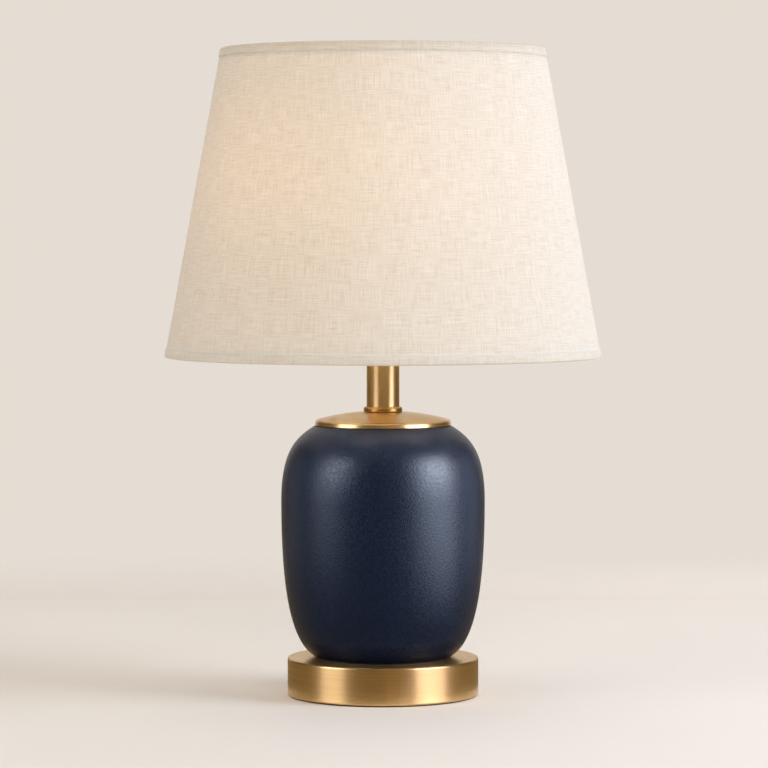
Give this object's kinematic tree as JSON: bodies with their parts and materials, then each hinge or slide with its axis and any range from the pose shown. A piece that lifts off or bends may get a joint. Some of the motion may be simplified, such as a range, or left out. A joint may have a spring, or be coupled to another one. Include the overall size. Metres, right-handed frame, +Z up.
{
  "type": "bedside lamp",
  "caption": "Table lamp: navy ceramic jar on a round weighted brass base, brass cap and neck, harp-held tapered linen drum shade, screw socket with turn switch and bulb.",
  "frame": {"origin": "centre of the felt that the lamp stands on, at table level", "axes": "+Z up along the lamp's rod; -Y is the front, where the switch knob points; +Y is the back, where the cord inlet is; the harp lies in the XZ plane"},
  "size_m": [0.3056, 0.3056, 0.4529],
  "materials": {
    "felt": "pressed wool felt",
    "base_brass": "brushed antique brass, grain running round",
    "cap_brass": "spun antique brass, satin",
    "plated_brass": "thin brass plating, satin",
    "iron": "rough casting",
    "zinc_steel": "zinc plated",
    "bush_plastic": "moulded, matte",
    "gasket_rubber": "matte",
    "navy_glaze": "semi-matte navy glaze",
    "phenolic": "moulded phenolic",
    "fibre_sleeve": "rolled fibre",
    "bulb_metal": "pressed, satin",
    "frosted_glass": "frosted inside",
    "clear_glass": "clear",
    "phosphor": "coated light strip",
    "liner": "translucent styrene sheet",
    "linen": "oatmeal linen, plain weave with slubs",
    "hem_linen": "the same linen, folded and pressed"
  },
  "bodies": {
    "stand": {"felt_pad": "felt", "base_cover": "base_brass", "base_weight": "iron", "base_washer": "zinc_steel", "base_lock_washer": "zinc_steel", "base_nut": "zinc_steel", "cord_inlet_bush": "bush_plastic", "threaded_rod": "zinc_steel", "foot_gasket": "gasket_rubber", "ceramic_jar": "navy_glaze", "cap_gasket": "gasket_rubber", "jar_cap": "cap_brass", "neck_collar": "cap_brass", "neck_tube": "cap_brass", "neck_plug": "cap_brass", "harp_saddle": "plated_brass", "saddle_lock_washer": "zinc_steel", "saddle_nut": "plated_brass", "socket_cap": "plated_brass", "socket_set_screw": "zinc_steel", "socket_shell": "plated_brass", "socket_liner": "fibre_sleeve", "socket_body": "phenolic", "terminal_screws": "plated_brass", "screw_shell": "plated_brass", "centre_contact": "plated_brass"},
    "knob": {"switch_spindle": "plated_brass", "switch_knob": "phenolic"},
    "bulb": {"bulb_contact": "bulb_metal", "bulb_insulator": "phenolic", "bulb_screw_cap": "bulb_metal", "bulb_glass": "frosted_glass", "bulb_stem": "clear_glass", "bulb_filaments": "phosphor"},
    "harp": {"harp_wire": "plated_brass", "harp_hub": "plated_brass"},
    "left_lock": {"left_ferrule": "plated_brass"},
    "right_lock": {"right_ferrule": "plated_brass"},
    "finial_nut": {"finial": "cap_brass"},
    "shade": {"spider_washer": "plated_brass", "spider_arms": "plated_brass", "top_ring_wire": "plated_brass", "bottom_ring_wire": "plated_brass", "shade_liner": "liner", "shade_cover": "linen", "top_hem": "hem_linen", "bottom_hem": "hem_linen"}
  },
  "joints": [
    {"name": "knob_turn", "type": "hinge", "parent": "stand", "child": "knob", "pos_m": [0, -0.025, 0.2782], "axis": [0, -1, 0], "continuous": true},
    {"name": "bulb_lift", "type": "slide", "parent": "stand", "child": "bulb", "axis": [0, 0, 1], "range_m": [0, 0.028]},
    {"name": "harp_lift", "type": "slide", "parent": "stand", "child": "harp", "axis": [0, 0, 1], "range_m": [0, 0.15]},
    {"name": "left_ferrule_lift", "type": "slide", "parent": "harp", "child": "left_lock", "axis": [0, 0, 1], "range_m": [0, 0.01]},
    {"name": "right_ferrule_lift", "type": "slide", "parent": "harp", "child": "right_lock", "axis": [0, 0, 1], "range_m": [0, 0.01]},
    {"name": "shade_turn", "type": "hinge", "parent": "harp", "child": "shade", "pos_m": [0, 0, 0.4324], "axis": [0, 0, 1], "continuous": true},
    {"name": "finial_lift", "type": "slide", "parent": "harp", "child": "finial_nut", "axis": [0, 0, 1], "range_m": [0, 0.02]}
  ]
}
